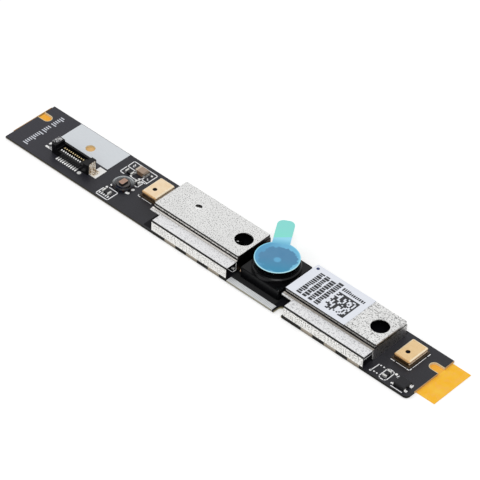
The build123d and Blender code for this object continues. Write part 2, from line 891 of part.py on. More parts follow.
with BuildPart() as front_lens:
    with BuildSketch(deck.offset(front_lens_bottom)):
        with Locations((camera_x, camera_y)):
            Circle(barrel_bore - lens_gap)
    extrude(amount=front_lens_thick)
front_lens.part.label = "front_lens"
export_step(front_lens.part, "parts/front_lens.step")

with BuildPart() as lens_spacer:
    with BuildSketch(deck.offset(rear_lens_top)):
        with Locations((camera_x, camera_y)):
            Circle(barrel_bore - lens_gap)
            Circle(spacer_radius, mode=Mode.SUBTRACT)
    extrude(amount=spacer_thick)
lens_spacer.part.label = "lens_spacer"
export_step(lens_spacer.part, "parts/lens_spacer.step")

with BuildPart() as rear_lens:
    with BuildSketch(deck.offset(rear_lens_bottom)):
        with Locations((camera_x, camera_y)):
            Circle(barrel_bore - lens_gap)
    extrude(amount=rear_lens_thick)
rear_lens.part.label = "rear_lens"
export_step(rear_lens.part, "parts/rear_lens.step")


# protective film on the barrel, and the backing of its pull tab
film_plane = Plane(
    origin=deck.from_local_coords((camera_x, camera_y, barrel_top)),
    x_dir=Vector(1, 0, 0).rotate(Axis.Z, tab_angle),
    z_dir=(0, 0, 1),
)


def tab_outline(start):
    with Locations((0, start)):
        tab = Rectangle(tab_width, tab_reach - start, align=(Align.CENTER, Align.MIN))
    fillet(tab.vertices().sort_by(Axis.Y)[-2:], radius=tab_round)


with BuildPart() as protective_film:
    with BuildSketch(film_plane):
        tab_outline(0)
        Circle(film_radius)
    extrude(amount=film_thick)
protective_film.part.label = "protective_film"
export_step(protective_film.part, "parts/protective_film.step")

with BuildPart() as pull_tab_backing:
    with BuildSketch(film_plane):
        tab_outline(liner_start)
    extrude(amount=-liner_thick)
pull_tab_backing.part.label = "pull_tab_backing"
export_step(pull_tab_backing.part, "parts/pull_tab_backing.step")
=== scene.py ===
import json
import math
import random

import bpy
from mathutils import Euler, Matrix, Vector

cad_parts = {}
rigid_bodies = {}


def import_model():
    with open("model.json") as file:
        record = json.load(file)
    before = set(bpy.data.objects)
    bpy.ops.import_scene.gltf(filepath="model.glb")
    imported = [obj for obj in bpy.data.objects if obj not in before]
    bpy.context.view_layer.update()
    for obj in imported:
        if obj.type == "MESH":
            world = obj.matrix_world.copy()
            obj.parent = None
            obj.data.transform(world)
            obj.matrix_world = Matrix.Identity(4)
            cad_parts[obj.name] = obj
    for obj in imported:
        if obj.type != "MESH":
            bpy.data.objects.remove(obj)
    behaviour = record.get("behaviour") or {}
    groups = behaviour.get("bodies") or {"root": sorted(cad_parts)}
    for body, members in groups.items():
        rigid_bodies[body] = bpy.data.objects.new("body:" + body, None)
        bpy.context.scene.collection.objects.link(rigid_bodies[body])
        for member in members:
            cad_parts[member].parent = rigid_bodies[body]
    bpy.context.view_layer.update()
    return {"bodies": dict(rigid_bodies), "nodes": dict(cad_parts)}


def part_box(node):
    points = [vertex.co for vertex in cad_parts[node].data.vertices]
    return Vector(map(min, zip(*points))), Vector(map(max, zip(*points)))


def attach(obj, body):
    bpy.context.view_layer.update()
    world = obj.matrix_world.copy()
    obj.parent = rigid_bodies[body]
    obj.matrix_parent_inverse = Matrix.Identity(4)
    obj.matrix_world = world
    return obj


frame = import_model()

# deck coordinates: millimetres from the board's left front corner, heights from its upper face
MM = 0.001
board_low, board_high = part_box("circuit_board")
deck_origin = Vector((board_low.x, board_low.y, board_high.z))
board_length = (board_high.x - board_low.x) / MM
board_thick = (board_high.z - board_low.z) / MM

# camera, solved from the photograph: metres from the deck's origin, degrees, and millimetres of lens
CAMERA_PLACE = (0.27464, -0.25678, 0.30664)
CAMERA_TURN = (48.699, -2.443, 42.647)
CAMERA_LENS = 206.66

# openings in the board: centres of the hole and of the slots' round ends, and radii of the bare rims
LOCATING_HOLE = (12.8, 8.2)
LEFT_SLOT = (1.5, 8.75)
RIGHT_SLOT = (board_length - 1.5, 8.75)
FRONT_SLOT = (64.25, 1.1)
HOLE_RIM = 0.95
SLOT_RIM = 0.92

# heights on the shields, the two edges of the frame's lip, and the row of lands at the shield's foot
LEDGE, LIP, SKIRT, UPPER_BEND = 2.34, 2.43, 2.6, 3.05
LIP_FRONT, LIP_BACK = 2.5, 2.8
LAND_PITCH, LAND_LENGTH = 5.0, 2.5

# print on the board and on the label: its thickness, the usual width of a line, the label's dot
PRINT_THICK = 0.012
SILK_WIDTH = 0.17
LABEL_DOT_RADIUS = 0.3


def deck_point(x, y, z):
    return deck_origin + Vector((x, y, z)) * MM


def deck_box(node):
    low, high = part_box(node)
    return (low - deck_origin) / MM, (high - deck_origin) / MM


def deck_centre(node):
    """Middle of a node, seen from above."""
    low, high = deck_box(node)
    return ((low + high) / 2).xy


def label_dot():
    """Centre of the dot in the label's back left corner."""
    low, high = deck_box("printed_label")
    return low.x + 0.75, high.y - 0.85


def shade(code):
    """A colour written as #rrggbb, in linear light."""
    values = [int(code[place:place + 2], 16) / 255 for place in (1, 3, 5)]
    linear = [value / 12.92 if value <= 0.04045 else ((value + 0.055) / 1.055) ** 2.4 for value in values]
    return (*linear, 1.0)


class Nodes:
    """A node tree, and short calls that add to it. A mask runs from 0 to 1."""

    def __init__(self, tree):
        self.tree = tree

    def node(self, kind, sockets=None, **settings):
        made = self.tree.nodes.new(kind)
        for setting, value in settings.items():
            setattr(made, setting, value)
        for socket, value in (sockets or {}).items():
            self.plug(made.inputs[socket], value)
        return made

    def plug(self, socket, value):
        if isinstance(value, bpy.types.NodeSocket):
            self.tree.links.new(value, socket)
        else:
            socket.default_value = value

    def vector(self, operation, first, second):
        return self.node("ShaderNodeVectorMath", {0: first, 1: second}, operation=operation).outputs["Vector"]

    def dot(self, first, second):
        made = self.node("ShaderNodeVectorMath", {0: first, 1: second}, operation="DOT_PRODUCT")
        return made.outputs["Value"]

    def length(self, value):
        return self.node("ShaderNodeVectorMath", {0: value}, operation="LENGTH").outputs["Value"]

    def math(self, operation, first, second=0.0):
        return self.node("ShaderNodeMath", {0: first, 1: second}, operation=operation).outputs[0]

    def fold(self, operation, values):
        found, *others = values
        for value in others:
            found = self.math(operation, found, value)
        return found

    def any_of(self, *masks):
        return self.fold("MAXIMUM", masks)

    def all_of(self, *masks):
        return self.fold("MULTIPLY", masks)

    def hypotenuse(self, first, second):
        squares = [self.math("MULTIPLY", side, side) for side in (first, second)]
        return self.math("SQRT", self.math("ADD", *squares))

    def above(self, value, edge, soft):
        sockets = {"Value": value, "From Min": edge - soft, "From Max": edge + soft}
        return self.node("ShaderNodeMapRange", sockets, interpolation_type="SMOOTHSTEP").outputs["Result"]

    def below(self, value, edge, soft):
        return self.math("SUBTRACT", 1.0, self.above(value, edge, soft))

    def between(self, value, low, high, soft):
        return self.all_of(self.above(value, low, soft), self.below(value, high, soft))

    def span(self, mask, low, high):
        """A number that goes from low to high with the mask."""
        sockets = {"Value": mask, "To Min": low, "To Max": high}
        return self.node("ShaderNodeMapRange", sockets).outputs["Result"]


class Paint(Nodes):
    """One material and the nodes that feed its shader, with deck coordinates at hand."""

    def __init__(self, name, **constants):
        self.material = bpy.data.materials.new(name)
        self.material.use_nodes = True
        super().__init__(self.material.node_tree)
        self.shader = self.tree.nodes["Principled BSDF"]
        self.set_shader(constants)
        raw = self.node("ShaderNodeTexCoord").outputs["Object"]
        from_origin = self.vector("SUBTRACT", raw, tuple(deck_origin))
        self.place = self.vector("MULTIPLY", from_origin, (1 / MM, 1 / MM, 1 / MM))
        self.x, self.y, self.z = self.node("ShaderNodeSeparateXYZ", {0: self.place}).outputs
        normal = self.node("ShaderNodeNewGeometry").outputs["Normal"]
        self.endward, self.across, self.upward = self.node("ShaderNodeSeparateXYZ", {0: normal}).outputs

    def set_shader(self, values):
        for socket, value in values.items():
            self.plug(self.shader.inputs[socket.replace("_", " ")], value)

    def noise(self, per_mm, detail=2.0, roughness=0.5, stretch=None):
        where = self.vector("MULTIPLY", self.place, stretch) if stretch else self.place
        sockets = {"Vector": where, "Scale": per_mm, "Detail": detail, "Roughness": roughness}
        return self.node("ShaderNodeTexNoise", sockets).outputs["Fac"]

    def offset(self, point):
        """The way to each place from a point (x, y) of the deck."""
        return self.vector("SUBTRACT", self.place, (*point, 0))

    def distance(self, point):
        return self.length(self.vector("MULTIPLY", self.offset(point), (1, 1, 0)))

    def slot_distance(self, end, inward):
        """Distance from the middle line of a slot; inward points from its mouth to its round end."""
        from_end = self.offset(end)
        along = self.math("MAXIMUM", self.dot(from_end, (*inward, 0)), 0.0)
        across = self.dot(from_end, (-inward[1], inward[0], 0))
        return self.hypotenuse(along, across)

    def mix(self, share, first, second):
        """From the first colour to the second, each a socket or written as #rrggbb."""
        first, second = [shade(colour) if isinstance(colour, str) else colour for colour in (first, second)]
        return self.node("ShaderNodeMix", {"Factor": share, 6: first, 7: second}, data_type="RGBA").outputs[2]

    def tint(self, colour, over, mask, strength=1.0):
        """The colour, with another over it where the mask is."""
        share = mask if strength == 1.0 else self.math("MULTIPLY", mask, strength)
        return self.mix(share, colour, over)

    def bump(self, height, depth_mm):
        made = self.node("ShaderNodeBump", {"Height": height, "Distance": depth_mm * MM, "Strength": 1.0})
        self.set_shader({"Normal": made.outputs[0]})

    def done(self, colour, **others):
        self.set_shader({"Base Color": colour, **others})
        return self.material


class Shape:
    """A mesh in deck coordinates, made of flat pieces between two heights, and of domes."""

    DISC_SIDES = 20
    DOME_SIDES, DOME_RINGS = 14, 4

    def __init__(self, low=0.0, high=PRINT_THICK):
        self.low, self.high = low, high
        self.points = []
        self.faces = []

    def prism(self, outline):
        first, count = len(self.points), len(outline)
        self.points += [deck_point(x, y, z) for z in (self.low, self.high) for x, y in outline]
        self.faces.append([first + count - 1 - index for index in range(count)])
        self.faces.append([first + count + index for index in range(count)])
        for index in range(count):
            after = (index + 1) % count
            self.faces.append([first + index, first + after, first + count + after, first + count + index])

    def block(self, x, y, width, depth):
        """A rectangle from its left front corner."""
        self.prism([(x, y), (x + width, y), (x + width, y + depth), (x, y + depth)])

    def line(self, start, end, width=SILK_WIDTH):
        run = Vector((end[0] - start[0], end[1] - start[1])).normalized() * width / 2
        side = Vector((-run.y, run.x))
        a, b = Vector(start) - run, Vector(end) + run
        self.prism([tuple(p) for p in (a - side, b - side, b + side, a + side)])

    def path(self, points, width=SILK_WIDTH):
        for start, end in zip(points, points[1:]):
            self.line(start, end, width)

    def disc(self, x, y, radius):
        turns = [2 * math.pi * index / self.DISC_SIDES for index in range(self.DISC_SIDES)]
        self.prism([(x + radius * math.cos(turn), y + radius * math.sin(turn)) for turn in turns])

    def dome(self, x, y, radius_x, radius_y, height):
        first, sides = len(self.points), self.DOME_SIDES
        for ring in range(self.DOME_RINGS):
            lift = math.pi / 2 * ring / self.DOME_RINGS
            shrink, z = math.cos(lift), self.low + height * math.sin(lift)
            for index in range(sides):
                turn = 2 * math.pi * index / sides
                across, along = radius_x * math.cos(turn), radius_y * math.sin(turn)
                self.points.append(deck_point(x + across * shrink, y + along * shrink, z))
        self.points.append(deck_point(x, y, self.low + height))
        top = len(self.points) - 1
        self.faces.append([first + sides - 1 - index for index in range(sides)])
        for ring in range(self.DOME_RINGS - 1):
            a = first + ring * sides
            for index in range(sides):
                after = (index + 1) % sides
                self.faces.append([a + index, a + after, a + sides + after, a + sides + index])
        last = first + (self.DOME_RINGS - 1) * sides
        self.faces += [[last + index, last + (index + 1) % sides, top] for index in range(sides)]

    def add_to_scene(self, name, material, slot=None, smooth=False):
        mesh = bpy.data.meshes.new(name)
        mesh.from_pydata([tuple(point) for point in self.points], [], self.faces)
        mesh.materials.append(material)
        if smooth:
            mesh.shade_smooth()
        made = link_object(name, mesh)
        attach(made, "root")


def link_object(name, data):
    made = bpy.data.objects.new(name, data)
    bpy.context.scene.collection.objects.link(made)
    return made


def clear_start_up():
    kept = {*frame["bodies"].values(), *frame["nodes"].values()}
    for left_over in [o for o in bpy.data.objects if o not in kept]:
        bpy.data.objects.remove(left_over)


# materials of the board and what lies flat on it
def board_mask():
    """Satin black mask; bare laminate shows at the right edge, round the openings and on the sides."""
    paint = Paint("board_mask", Roughness=0.42, Specular_IOR_Level=0.35)
    shields_left, shields_right, shields_front = 33.3, 82.4, 0.3
    gap_left, gap_right, gap_back = 52.8, 62.4, 2.8
    grain = paint.noise(9.0, detail=3)
    layers = paint.noise(3.0, detail=2, stretch=(0.2, 0.2, 6.0))
    along_shields = paint.between(paint.x, shields_left, shields_right, 0.1)
    shield_shade = paint.all_of(along_shields, paint.above(paint.y, shields_front, 0.1))
    along_gap = paint.between(paint.x, gap_left, gap_right, 0.3)
    lit_gap = paint.all_of(along_gap, paint.below(paint.y, gap_back, 0.5))
    mask = paint.mix(paint.noise(0.25, detail=2), "#131318", "#212129")
    # painted light: the mask is painted lighter towards the board's left end
    mask = paint.tint(mask, "#2e2d38", paint.below(paint.x, 12.0, 16.0), 0.5)
    mask = paint.tint(mask, "#2b2b34", paint.above(grain, 0.62, 0.08))
    # painted shade: the mask is painted darker under the shields, and its gloss is lowered there
    mask = paint.tint(mask, "#0c0c0d", shield_shade, 0.6)
    # painted light: the open deck between the shields is painted lighter again
    mask = paint.tint(mask, paint.mix(grain, "#252526", "#373737"), lit_gap, 0.75)

    side = paint.below(paint.math("ABSOLUTE", paint.upward), 0.5, 0.05)
    low_half = paint.below(paint.z, -board_thick / 2, 0.05)
    core = paint.all_of(low_half, paint.below(paint.x, shields_left - 0.2, 0.1))
    side_colour = paint.tint("#17160f", paint.mix(layers, "#5f594a", "#777060"), core)
    colour = paint.tint(mask, side_colour, side)

    by_left_slot = paint.below(paint.slot_distance(LEFT_SLOT, (1, 0)), SLOT_RIM, 0.04)
    by_right_slot = paint.below(paint.slot_distance(RIGHT_SLOT, (-1, 0)), SLOT_RIM, 0.04)
    by_hole = paint.below(paint.distance(LOCATING_HOLE), HOLE_RIM, 0.03)
    cream = paint.mix(layers, "#c9b283", "#efe2c0")
    colour = paint.tint(colour, cream, paint.any_of(by_left_slot, by_right_slot, by_hole))
    by_front_slot = paint.below(paint.slot_distance(FRONT_SLOT, (0, 1)), SLOT_RIM, 0.04)
    olive = paint.mix(side, "#2c2917", paint.mix(low_half, "#5a553c", "#b9b297"))
    colour = paint.tint(colour, olive, by_front_slot)
    right_edge = paint.all_of(paint.above(paint.x, board_length - 0.05, 0.02), paint.above(paint.y, 1.9, 0.1))
    colour = paint.tint(colour, "#d9b27c", right_edge, 0.8)

    runs = paint.above(paint.noise(1.6, detail=1, stretch=(0.12, 2.2, 1.0)), 0.55, 0.03)
    paint.bump(paint.math("ADD", paint.span(runs, 0, 0.6), grain), 0.006)
    gloss = paint.span(paint.any_of(side, shield_shade), 0.35, 0.08)
    return paint.done(colour, Specular_IOR_Level=gloss)


def yellow_film():
    """Yellow tape, deeper orange in painted shade under the board, paler in the locating hole and brown at its
    left end.
    """
    paint = Paint("yellow_film", Roughness=0.5, Specular_IOR_Level=0.12)
    patch = paint.noise(0.9, detail=2, roughness=0.6, stretch=(1.0, 1.0, 3.0))
    on_board = paint.between(paint.x, 0.0, board_length, 0.1)
    slot_shade = paint.all_of(on_board, paint.between(paint.y, 7.0, 10.0, 0.1))
    colour = paint.mix(paint.noise(0.7, detail=3), "#ffb500", "#ffcf55")
    colour = paint.tint(colour, "#ffbe58", paint.above(patch, 0.56, 0.06), 0.5)
    # painted shade: deeper orange under the board, where the tape is seen down the slots
    colour = paint.tint(colour, "#f2a648", slot_shade, 0.5)
    colour = paint.tint(colour, "#e2c08c", paint.below(paint.distance(LOCATING_HOLE), 1.2, 0.1), 0.85)
    colour = paint.tint(colour, "#8a5d30", paint.below(paint.x, -0.02, 0.03), 0.8)
    paint.bump(paint.noise(0.8, detail=1, stretch=(1.0, 0.25, 1.0)), 0.02)
    return paint.done(colour)


def white_print():
    paint = Paint("white_print", Roughness=0.55)
    weave = paint.noise(4.0, detail=2, stretch=(0.3, 3.0, 1.0))
    paint.bump(weave, 0.004)
    return paint.done(paint.mix(weave, "#d2d7dc", "#dfe3e7"))


def ribbed_strip():
    """Silver strip with fine ribs, darker where it is folded down over the board's edge."""
    paint = Paint("ribbed_strip", Metallic=0.2)
    ribbing = {"Vector": paint.place, "Scale": 1.1, "Distortion": 0.4, "Detail": 1.0}
    rib = paint.node("ShaderNodeTexWave", ribbing).outputs["Fac"]
    thread = paint.noise(7.0, detail=2, stretch=(1.0, 0.3, 1.0))
    colour = paint.mix(rib, "#d1d5d7", "#f9fafb")
    colour = paint.tint(colour, "#a3a8ab", thread, 0.3)
    colour = paint.tint(colour, "#857f69", paint.below(paint.across, -0.5, 0.1), 0.9)
    paint.bump(rib, 0.012)
    return paint.done(colour, Roughness=paint.span(thread, 0.4, 0.55))


def ink(name, colour, roughness=0.5):
    paint = Paint(name, Roughness=roughness)
    lighter = tuple(min(1.0, part * 1.25 + 0.01) for part in shade(colour)[:3]) + (1.0,)
    return paint.done(paint.mix(paint.noise(7.0, detail=2), colour, lighter))


# materials of the shields and their label
class TinPaint(Paint):
    """Paint for a folded tin shield, with masks for its faces."""

    def __init__(self, name, **constants):
        super().__init__(name, **constants)
        self.top = self.above(self.upward, 0.9, 0.05)
        self.near = self.below(self.across, -0.1, 0.08)
        self.front_wall = self.all_of(self.below(self.upward, 0.2, 0.1), self.near)
        self.ledge = self.all_of(self.top, self.below(self.z, SKIRT, 0.05))


def tin_ground(paint, fine, coarse, speck_per_mm, speck_edge, speck_dark):
    """Matt tin with fine dark specks, painted light on the front wall and ledge, and larger flecks high on the
    front wall.
    """
    colour = paint.mix(paint.noise(0.22, detail=2), "#dadad9", "#ebebea")
    # painted light: the front wall is painted whiter
    colour = paint.tint(colour, "#f6f5f2", paint.front_wall)
    speck = paint.above(paint.math("ADD", fine, paint.span(coarse, -0.06, 0.06)), speck_edge, 0.05)
    colour = paint.tint(colour, "#333334", speck, speck_dark)
    colour = paint.tint(colour, "#ffffff", paint.below(fine, 0.36, 0.05), 0.5)
    # painted light: the ledge is painted paler
    colour = paint.tint(colour, "#fafaff", paint.ledge, 0.38)
    rough = paint.noise(speck_per_mm, detail=3, stretch=(1.0, 1.0, 0.7))
    flecks = paint.above(rough, speck_edge - 0.01, 0.04)
    high_flecks = paint.all_of(paint.front_wall, flecks, paint.above(paint.z, 0.9, 0.9))
    return paint.tint(colour, "#3d3c3a", high_flecks, 0.72)


def tin_foot(paint, colour, lands_start, foot_height):
    """A foot along the front wall painted dark as the shade in the gap under it, broken by a row of plated
    lands.
    """
    in_pitch = paint.math("FLOORED_MODULO", paint.math("SUBTRACT", paint.x, lands_start), LAND_PITCH)
    past_start = paint.above(paint.x, lands_start - 0.2, 0.05)
    on_land = paint.all_of(paint.below(in_pitch, LAND_LENGTH, 0.05), past_start)
    # painted shade: near black in the gap under the wall's foot, save on the plated lands
    foot = paint.all_of(paint.front_wall, paint.below(paint.z, foot_height, 0.03))
    return paint.tint(colour, paint.mix(on_land, "#0e0d0a", "#a0978a"), foot)


def tin_folds(paint, colour, skirt_shade, lip_light_and_shade, end_shade):
    """Painted shade on the skirt, lip edge, right end and seam, and painted reflections on the bends and lip
    top.
    """
    skirt = paint.all_of(paint.front_wall, paint.between(paint.z, SKIRT, UPPER_BEND, 0.03))
    # painted shade: the skirt is painted darker, by the share the shield gives
    colour = paint.tint(colour, "#3a3733", skirt, skirt_shade)
    lip_edge = paint.all_of(paint.near, paint.between(paint.z, LEDGE, LIP, 0.015))
    # painted shade on the lip's front edge
    colour = paint.tint(colour, "#4e4840", lip_edge, 0.5)
    lip_level = paint.all_of(paint.top, paint.between(paint.z, LIP - 0.05, LIP + 0.07, 0.02))
    lip = paint.all_of(lip_level, paint.below(paint.y, LIP_BACK, 0.03))
    # painted reflection on the lip's top, its tone set by the shield, with painted shade along its front
    colour = paint.tint(colour, lip_light_and_shade, lip)
    colour = paint.tint(colour, "#5b554e", paint.all_of(lip, paint.below(paint.y, LIP_FRONT, 0.03)), 0.4)
    # painted shade on the faces of the right end
    colour = paint.tint(colour, "#2c211e", paint.above(paint.endward, 0.5, 0.1), end_shade)
    # painted dark reflection along the bends
    bend = paint.all_of(paint.between(paint.upward, 0.1, 0.988, 0.02), paint.near)
    colour = paint.tint(colour, "#100f0e", bend, 0.97)
    # painted shade in the seam under the skirt and behind the lip
    skirt_foot = paint.all_of(paint.front_wall, paint.between(paint.z, SKIRT, SKIRT + 0.12, 0.02))
    behind_lip = paint.all_of(lip_level, paint.above(paint.y, LIP_BACK, 0.03))
    return paint.tint(colour, "#0f0e0d", paint.any_of(skirt_foot, behind_lip))


def tin_dent(paint, colour, centre):
    """The wall of a pressed dimple, with painted shade at the back and a painted highlight in front."""
    radius = 0.68
    sloping = paint.below(paint.upward, 0.997, 0.002)
    hollow = paint.all_of(paint.below(paint.distance(centre), radius, 0.05), sloping)
    backward = paint.dot(paint.offset(centre), (-0.4, 0.92, 0))
    colour = paint.tint(colour, "#201f1e", paint.all_of(hollow, paint.above(backward, 0.0, 0.12)))
    return paint.tint(colour, "#ffffff", paint.all_of(hollow, paint.below(backward, -0.12, 0.1)), 0.8)


def tin_sheet(name, speck_per_mm, speck_edge, speck_dark, skirt_shade, lands_start, foot_height, lip_light_and_shade,
              end_shade, dent=None):
    paint = TinPaint(name, Specular_IOR_Level=0.15)
    fine = paint.noise(speck_per_mm, detail=2, roughness=0.6)
    coarse = paint.noise(speck_per_mm * 0.4, detail=2)
    colour = tin_ground(paint, fine, coarse, speck_per_mm, speck_edge, speck_dark)
    colour = tin_foot(paint, colour, lands_start, foot_height)
    colour = tin_folds(paint, colour, skirt_shade, lip_light_and_shade, end_shade)
    if dent:
        colour = tin_dent(paint, colour, dent)
    paint.bump(paint.math("ADD", fine, paint.math("MULTIPLY", coarse, 0.8)), 0.01)
    metal = paint.span(paint.any_of(paint.near, paint.ledge), 1.0, 0.45)
    return paint.done(colour, Metallic=metal, Roughness=paint.span(fine, 0.25, 0.4))


def label_paper():
    paint = Paint("label_paper", Roughness=0.5)
    fibre = paint.noise(6.0, detail=3)
    paint.bump(fibre, 0.003)
    return paint.done(paint.mix(fibre, "#e6eaf4", "#f0f3fa"))


def label_ink():
    """Black print with a navy dot in the label's corner."""
    paint = Paint("label_ink", Roughness=0.5)
    black = paint.mix(paint.noise(7.0, detail=2), "#0f1116", "#1d1f25")
    on_dot = paint.below(paint.distance(label_dot()), LABEL_DOT_RADIUS + 0.1, 0.02)
    return paint.done(paint.tint(black, "#1c2a5c", on_dot))


# materials of plastics, metals and glass
def gold_can(name, dark, light):
    """Gilt lid: brushed top, painted highlights on the bevel and a band on the end, sides in painted shade,
    brown at the foot.
    """
    paint = Paint(name)
    brown_height, band_low, band_high = 0.74, 0.5, 0.84
    brushed = paint.noise(3.0, detail=3, stretch=(0.3, 3.0, 1.0))
    colour = paint.mix(paint.noise(0.9, detail=2), dark, light)
    # painted highlight: the bevel is painted pale, darker gold where it faces the front
    bevel = paint.between(paint.upward, 0.25, 0.985, 0.02)
    bevel_highlight = paint.mix(paint.below(paint.across, -0.1, 0.05), "#fff2d6", "#c9a06a")
    colour = paint.tint(colour, bevel_highlight, bevel, 0.85)
    # painted shade: the sides are painted darker, turning brown towards the foot
    side = paint.below(paint.upward, 0.6, 0.2)
    colour = paint.tint(colour, "#c98a44", side, 0.4)
    colour = paint.tint(colour, "#4a3824", paint.all_of(paint.below(paint.z, brown_height, 0.17), side), 0.8)
    # painted highlight: a pale band across the right end
    right_end = paint.above(paint.endward, 0.6, 0.1)
    band = paint.all_of(right_end, paint.between(paint.z, band_low, band_high, 0.06))
    colour = paint.tint(colour, "#ffe9cc", band, 0.85)
    paint.bump(brushed, 0.003)
    metal = paint.span(paint.any_of(bevel, band), 1.0, 0.25)
    return paint.done(colour, Metallic=metal, Roughness=paint.span(brushed, 0.24, 0.34))


def moulded(name, dark, light, roughness, gloss=0.5, shaded_sides=0.0):
    paint = Paint(name, Roughness=roughness, Specular_IOR_Level=gloss)
    colour = paint.mix(paint.noise(1.1, detail=2), dark, light)
    paint.bump(paint.noise(14.0, detail=2), 0.004)
    # painted shade on the sides, by the share the caller gives
    return paint.done(paint.tint(colour, "#020202", paint.below(paint.upward, 0.5, 0.1), shaded_sides))


def plated(name, dark, light, roughness, metal=1.0):
    paint = Paint(name, Metallic=metal)
    cloud = paint.noise(2.5, detail=3)
    spread = 0.08
    paint.bump(cloud, 0.01)
    matt = paint.span(cloud, roughness - spread, roughness + spread)
    return paint.done(paint.mix(cloud, dark, light), Roughness=matt)


def streaked_plate(name, dark, light, stretch):
    """Plated sheet with brushed streaks of two shades."""
    paint = Paint(name, Metallic=0.5, Roughness=0.3)
    streak = paint.noise(2.4, detail=2, roughness=0.6, stretch=stretch)
    fine = paint.noise(6.0, detail=2)
    colour = paint.mix(paint.above(streak, 0.5, 0.05), dark, light)
    paint.bump(fine, 0.006)
    return paint.done(paint.tint(colour, "#ffffff", paint.above(fine, 0.6, 0.06)))


def contact_plate():
    """Tinned feet and posts in front, gilt tips behind."""
    paint = Paint("contact_plate", Metallic=0.3, Roughness=0.3)
    gilt_front = 3.6
    cloud = paint.noise(4.0, detail=2)
    tin = paint.mix(cloud, "#e2e2e0", "#ffffff")
    # painted shade on the sides of the gilt tips
    gilt = paint.mix(paint.above(paint.upward, 0.5, 0.1), "#2b2117", paint.mix(cloud, "#e8c987", "#ffedbf"))
    paint.bump(cloud, 0.005)
    return paint.done(paint.tint(tin, gilt, paint.above(paint.y, gilt_front, 0.1)))


def pad_solder():
    """Bright solder; the left pad of the connector is dark but for its front rim and one spot."""
    paint = Paint("pad_solder", Metallic=0.2, Roughness=0.3)
    pad_right, rim_back = 9.0, 3.4
    spot, spot_radius = (6.95, 4.2), 0.32
    cloud = paint.noise(2.5, detail=3)
    on_left_pad = paint.all_of(paint.below(paint.x, pad_right, 0.1), paint.above(paint.y, rim_back, 0.05))
    round_spot = paint.above(paint.distance(spot), spot_radius, 0.06)
    paint.bump(cloud, 0.01)
    colour = paint.mix(cloud, "#e6e6e3", "#ffffff")
    return paint.done(paint.tint(colour, "#26262b", paint.all_of(on_left_pad, round_spot)))


def chip_ends():
    """Tinned ends of the small chips; the large capacitor's are duller, the right one darker as painted shade.
    """
    paint = Paint("chip_ends", Metallic=0.6, Roughness=0.3)
    middle, reach = deck_centre("capacitor_body").x, 1.4
    over_small_chips = 0.55
    cloud = paint.noise(2.5, detail=3)
    bright = paint.mix(cloud, "#a9a9a6", "#f4f4f1")
    # painted shade: the capacitor's right end is painted darker than its left
    dull = paint.mix(paint.above(paint.x, middle, 0.2), "#c4b6a6", "#7d6e60")
    by_capacitor = paint.between(paint.x, middle - reach, middle + reach, 0.05)
    on_capacitor = paint.all_of(by_capacitor, paint.above(paint.z, over_small_chips, 0.05))
    paint.bump(cloud, 0.01)
    return paint.done(paint.tint(bright, dull, on_capacitor))


def fired_ceramic():
    paint = Paint("fired_ceramic", Roughness=0.5)
    grain = paint.noise(8.0, detail=2)
    # painted shade: the sides are painted darker than the top
    colour = paint.mix(paint.above(paint.upward, 0.5, 0.1), "#6e5846", "#a48f7e")
    paint.bump(grain, 0.005)
    return paint.done(paint.tint(colour, "#8a705a", grain, 0.35))


def coil_core():
    """Ferrite core with a brown crown."""
    paint = Paint("coil_core", Roughness=0.35)
    grain = paint.noise(5.0, detail=3)
    crown = paint.mix(grain, "#8f6d5e", "#bd9a86")
    paint.bump(grain, 0.008)
    return paint.done(paint.tint("#131318", crown, paint.above(paint.upward, 0.5, 0.1)))


def coil_wire():
    """Enamelled turns, blue at the front and brown behind."""
    paint = Paint("coil_wire", Roughness=0.25, Coat_Weight=0.6, Coat_Roughness=0.1)
    wave = paint.node("ShaderNodeTexWave", {"Vector": paint.place, "Scale": 2.2}, bands_direction="Z")
    turns = wave.outputs["Fac"]
    wire = paint.mix(paint.above(paint.across, -0.6, 0.3), "#20305a", "#1c100e")
    paint.bump(turns, 0.05)
    return paint.done(paint.mix(turns, "#07070a", wire))


def coil_cup(centre):
    """Resin ring: a painted pale grey highlight at the back left, near black with blue and brown tints in
    front.
    """
    paint = Paint("coil_cup", Roughness=0.28, Specular_IOR_Level=0.2)
    ring_radius = 1.36
    grain = paint.noise(2.2, detail=3)
    blue_or_brown = paint.mix(paint.above(paint.noise(1.7), 0.5, 0.1), "#141c2c", "#2a1a14")
    dark = paint.tint(paint.mix(grain, "#060608", "#16171d"), blue_or_brown, paint.above(grain, 0.52, 0.08))
    # painted highlight: the ring is painted pale grey towards the back left
    back_left = paint.above(paint.dot(paint.offset(centre), (-0.62, 0.78, 0)), 0.25, 1.1)
    ring_highlight = paint.all_of(paint.above(paint.distance(centre), ring_radius, 0.12), back_left)
    paint.bump(grain, 0.01)
    return paint.done(paint.tint(dark, paint.mix(grain, "#7d8183", "#d6dadb"), ring_highlight))


def crystal_lid():
    """Dark nickel lid with one bright glint."""
    paint = Paint("crystal_lid", Roughness=0.35)
    glint_place, glint_radius = (48.05, 7.95), 0.2
    brushed = paint.noise(4.0, detail=2, stretch=(0.3, 3.0, 1.0))
    glint = paint.below(paint.distance(glint_place), glint_radius, 0.06)
    colour = paint.mix(brushed, "#3a3a3d", "#58585b")
    paint.bump(brushed, 0.004)
    return paint.done(paint.tint(colour, "#ffffff", glint), Metallic=paint.span(glint, 1.0, 0.0))


def clear_glass(name, tint):
    return Paint(name, Roughness=0.02, Transmission_Weight=1.0, IOR=1.5).done(shade(tint))


